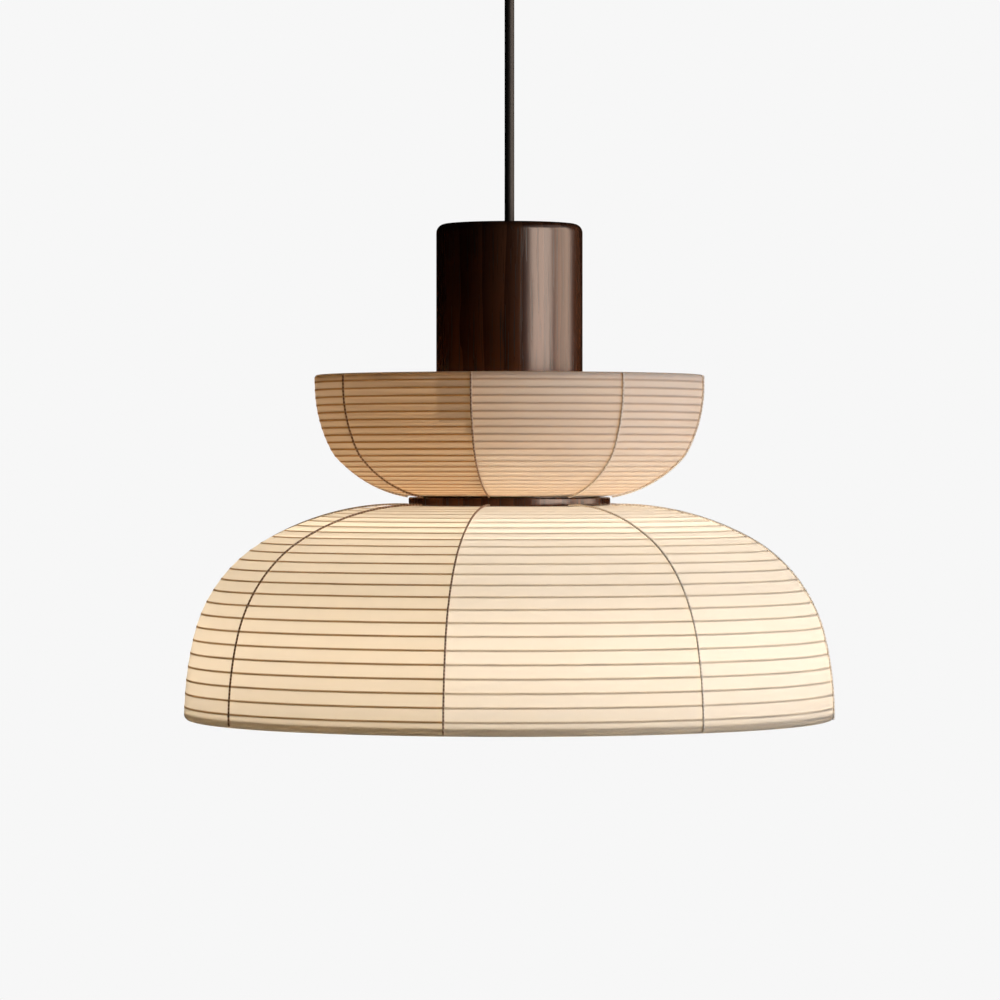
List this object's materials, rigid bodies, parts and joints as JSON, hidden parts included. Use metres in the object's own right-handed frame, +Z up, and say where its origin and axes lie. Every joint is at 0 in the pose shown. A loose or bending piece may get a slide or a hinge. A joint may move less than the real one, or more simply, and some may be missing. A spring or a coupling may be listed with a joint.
{
  "type": "pendant ceiling light",
  "caption": "Pendant ceiling light with a turned walnut head, a ribbed paper bowl above a walnut ring and a wide ribbed paper dome below it, hung by a black cord from a round ceiling cup.",
  "frame": {"origin": "middle of the ceiling bracket's top face, which lies on the ceiling", "axes": "+Z up out of the ceiling face along the cord, +X along the bracket and its two slots"},
  "size_m": [0.4, 0.4, 0.4835],
  "materials": {
    "walnut": "satin lacquer",
    "shade_paper": "matt, translucent",
    "bamboo": "stained, matt",
    "seam_cord": "waxed thread",
    "black_cord": "smooth PVC",
    "black_steel": "powder coat",
    "zinc_steel": "zinc plated",
    "black_plastic": "moulded",
    "white_plastic": "moulded",
    "lead_insulation": "extruded PVC",
    "porcelain": "glazed",
    "brass": "stamped",
    "nickel": "plated",
    "opal_glass": "opal, satin",
    "filament": "coated"
  },
  "bodies": {
    "ceiling_rose": {"ceiling_bracket": "zinc_steel", "ceiling_cup": "black_steel", "cup_screws": "black_steel", "cord_gland": "black_steel", "clamp_screw": "zinc_steel", "gland_nut": "zinc_steel", "terminal_block": "white_plastic", "terminal_screws": "zinc_steel", "cup_leads": "lead_insulation", "cord_stub": "black_cord"},
    "cord_neck": {"cord_neck": "black_cord"},
    "pendant": {"pendant_cord": "black_cord", "cord_bush": "black_plastic", "walnut_head": "walnut", "threaded_tube": "zinc_steel", "tube_nuts": "zinc_steel", "tube_washer": "zinc_steel", "cord_stop": "zinc_steel", "holder_cap": "black_plastic", "holder_skirt": "black_plastic", "holder_core": "porcelain", "screw_shell": "brass", "centre_leaf": "brass", "holder_terminals": "brass", "holder_screws": "brass", "holder_leads": "lead_insulation", "clamp_rings": "black_plastic", "walnut_ring": "walnut", "wire_spider": "black_steel", "shade_clips": "zinc_steel", "ring_screws": "zinc_steel", "dome_rim_hoop": "bamboo", "dome_neck_hoop": "zinc_steel", "dome_ribs": "bamboo", "dome_seams": "seam_cord", "dome_paper_1": "shade_paper", "dome_paper_2": "shade_paper", "dome_paper_3": "shade_paper", "dome_paper_4": "shade_paper", "dome_paper_5": "shade_paper", "dome_paper_6": "shade_paper", "dome_paper_7": "shade_paper", "dome_paper_8": "shade_paper", "bowl_rim_hoop": "bamboo", "bowl_neck_hoop": "zinc_steel", "bowl_ribs": "bamboo", "bowl_seams": "seam_cord", "bowl_paper_1": "shade_paper", "bowl_paper_2": "shade_paper", "bowl_paper_3": "shade_paper", "bowl_paper_4": "shade_paper", "bowl_paper_5": "shade_paper", "bowl_paper_6": "shade_paper", "bowl_paper_7": "shade_paper", "bowl_paper_8": "shade_paper"},
    "bulb_travel": {"bulb_button": "nickel"},
    "bulb": {"bulb_base": "black_plastic", "bulb_cap": "nickel", "bulb_glass": "opal_glass", "filament_stem": "filament"}
  },
  "joints": [
    {"name": "cord_twist", "type": "hinge", "parent": "ceiling_rose", "child": "cord_neck", "pos_m": [0, 0, -0.033], "axis": [0, 0, 1], "range_deg": [-90, 90], "stiffness_Nm_per_rad": 0.02},
    {"name": "cord_sway", "type": "hinge", "parent": "cord_neck", "child": "pendant", "pos_m": [0, 0, -0.033], "axis": [0, 1, 0], "range_deg": [-12, 12]},
    {"name": "bulb_unscrew", "type": "slide", "parent": "pendant", "child": "bulb_travel", "axis": [0, 0, -1], "range_m": [0, 0.0109]},
    {"name": "bulb_turn", "type": "hinge", "parent": "bulb_travel", "child": "bulb", "pos_m": [0, 0, -0.33], "axis": [0, 0, -1], "range_deg": [0, 1080]}
  ],
  "couplings": [
    {"joint": "bulb_unscrew", "follows": "bulb_turn", "m_per_rad": 0.00057757}
  ]
}
